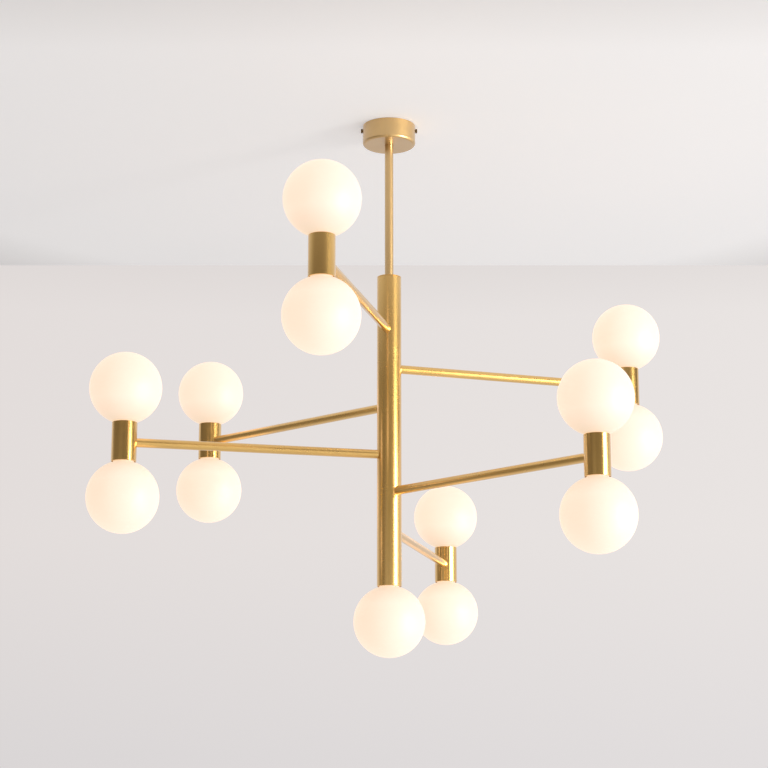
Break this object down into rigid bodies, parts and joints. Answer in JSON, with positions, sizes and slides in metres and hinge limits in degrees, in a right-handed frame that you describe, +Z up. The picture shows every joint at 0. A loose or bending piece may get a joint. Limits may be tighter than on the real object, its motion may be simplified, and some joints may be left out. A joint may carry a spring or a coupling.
{
  "type": "sputnik chandelier",
  "caption": "Brass ceiling chandelier: round canopy, stem and tube column with radial arms, each carrying opal glass globes above and below a short barrel.",
  "frame": {"origin": "middle of the ceiling bracket's two screw slots, on the ceiling plane", "axes": "+Z up into the ceiling along the column, +X through the bracket's screw slots and the canopy's side screws, towards the right in the picture; -Y towards the camera"},
  "size_m": [0.9837, 0.9947, 0.9349],
  "materials": {
    "brass_finish": "satin, lightly lacquered",
    "opal_glass": "satin opal",
    "zinc_steel": "zinc plated",
    "thread_brass": "machined",
    "screw_steel": "bronzed",
    "porcelain": "glazed ceramic",
    "bulb_glass": "frosted",
    "silicone": "matte",
    "lead_sheath": "matte",
    "terminal_plastic": "moulded"
  },
  "bodies": {
    "root": {"ceiling_bracket": "zinc_steel", "terminal_block": "terminal_plastic", "earth_screw": "zinc_steel", "stem": "brass_finish", "stem_nipples": "thread_brass", "stem_nuts": "zinc_steel", "mains_lead": "lead_sheath", "column": "brass_finish", "column_cap": "brass_finish", "arm_1": "brass_finish", "barrel_1": "brass_finish", "arm_2": "brass_finish", "barrel_2": "brass_finish", "arm_3": "brass_finish", "barrel_3": "brass_finish", "arm_4": "brass_finish", "barrel_4": "brass_finish", "arm_5": "brass_finish", "barrel_5": "brass_finish", "arm_6": "brass_finish", "barrel_6": "brass_finish", "arm_nipples": "thread_brass", "arm_nuts": "zinc_steel", "arm_washers": "zinc_steel", "arm_leads": "lead_sheath", "lampholders_1": "porcelain", "lampholders_2": "porcelain", "lampholders_3": "porcelain", "lampholders_4": "porcelain", "lampholders_5": "porcelain", "lampholders_6": "porcelain", "lampholders_bottom": "porcelain", "bulbs_1": "bulb_glass", "bulbs_2": "bulb_glass", "bulbs_3": "bulb_glass", "bulbs_4": "bulb_glass", "bulbs_5": "bulb_glass", "bulbs_6": "bulb_glass", "bulbs_bottom": "bulb_glass", "holder_plates": "zinc_steel", "globe_gaskets": "silicone", "holder_nuts": "zinc_steel"},
    "globe_1_upper_body": {"globe_1_upper": "opal_glass"},
    "globe_1_lower_body": {"globe_1_lower": "opal_glass"},
    "globe_2_upper_body": {"globe_2_upper": "opal_glass"},
    "globe_2_lower_body": {"globe_2_lower": "opal_glass"},
    "globe_3_upper_body": {"globe_3_upper": "opal_glass"},
    "globe_3_lower_body": {"globe_3_lower": "opal_glass"},
    "globe_4_upper_body": {"globe_4_upper": "opal_glass"},
    "globe_4_lower_body": {"globe_4_lower": "opal_glass"},
    "globe_5_upper_body": {"globe_5_upper": "opal_glass"},
    "globe_5_lower_body": {"globe_5_lower": "opal_glass"},
    "globe_6_upper_body": {"globe_6_upper": "opal_glass"},
    "globe_6_lower_body": {"globe_6_lower": "opal_glass"},
    "globe_bottom_body": {"globe_bottom": "opal_glass"},
    "canopy_body": {"canopy": "brass_finish"},
    "screw_left_body": {"canopy_screw_left": "screw_steel"},
    "screw_right_body": {"canopy_screw_right": "screw_steel"}
  },
  "joints": [
    {"name": "globe_1_upper_pull", "type": "slide", "parent": "root", "child": "globe_1_upper_body", "axis": [0, 0, 1], "range_m": [0, 0.075]},
    {"name": "globe_1_lower_pull", "type": "slide", "parent": "root", "child": "globe_1_lower_body", "axis": [0, 0, -1], "range_m": [0, 0.075]},
    {"name": "globe_2_upper_pull", "type": "slide", "parent": "root", "child": "globe_2_upper_body", "axis": [0, 0, 1], "range_m": [0, 0.075]},
    {"name": "globe_2_lower_pull", "type": "slide", "parent": "root", "child": "globe_2_lower_body", "axis": [0, 0, -1], "range_m": [0, 0.075]},
    {"name": "globe_3_upper_pull", "type": "slide", "parent": "root", "child": "globe_3_upper_body", "axis": [0, 0, 1], "range_m": [0, 0.075]},
    {"name": "globe_3_lower_pull", "type": "slide", "parent": "root", "child": "globe_3_lower_body", "axis": [0, 0, -1], "range_m": [0, 0.075]},
    {"name": "globe_4_upper_pull", "type": "slide", "parent": "root", "child": "globe_4_upper_body", "axis": [0, 0, 1], "range_m": [0, 0.075]},
    {"name": "globe_4_lower_pull", "type": "slide", "parent": "root", "child": "globe_4_lower_body", "axis": [0, 0, -1], "range_m": [0, 0.075]},
    {"name": "globe_5_upper_pull", "type": "slide", "parent": "root", "child": "globe_5_upper_body", "axis": [0, 0, 1], "range_m": [0, 0.075]},
    {"name": "globe_5_lower_pull", "type": "slide", "parent": "root", "child": "globe_5_lower_body", "axis": [0, 0, -1], "range_m": [0, 0.075]},
    {"name": "globe_6_upper_pull", "type": "slide", "parent": "root", "child": "globe_6_upper_body", "axis": [0, 0, 1], "range_m": [0, 0.075]},
    {"name": "globe_6_lower_pull", "type": "slide", "parent": "root", "child": "globe_6_lower_body", "axis": [0, 0, -1], "range_m": [0, 0.075]},
    {"name": "globe_bottom_pull", "type": "slide", "parent": "root", "child": "globe_bottom_body", "axis": [0, 0, -1], "range_m": [0, 0.075]},
    {"name": "canopy_slide", "type": "slide", "parent": "root", "child": "canopy_body", "axis": [0, 0, -1], "range_m": [0, 0.24]},
    {"name": "canopy_screw_left_out", "type": "slide", "parent": "root", "child": "screw_left_body", "axis": [-1, 0, 0], "range_m": [0, 0.004]},
    {"name": "canopy_screw_right_out", "type": "slide", "parent": "root", "child": "screw_right_body", "axis": [1, 0, 0], "range_m": [0, 0.004]}
  ]
}
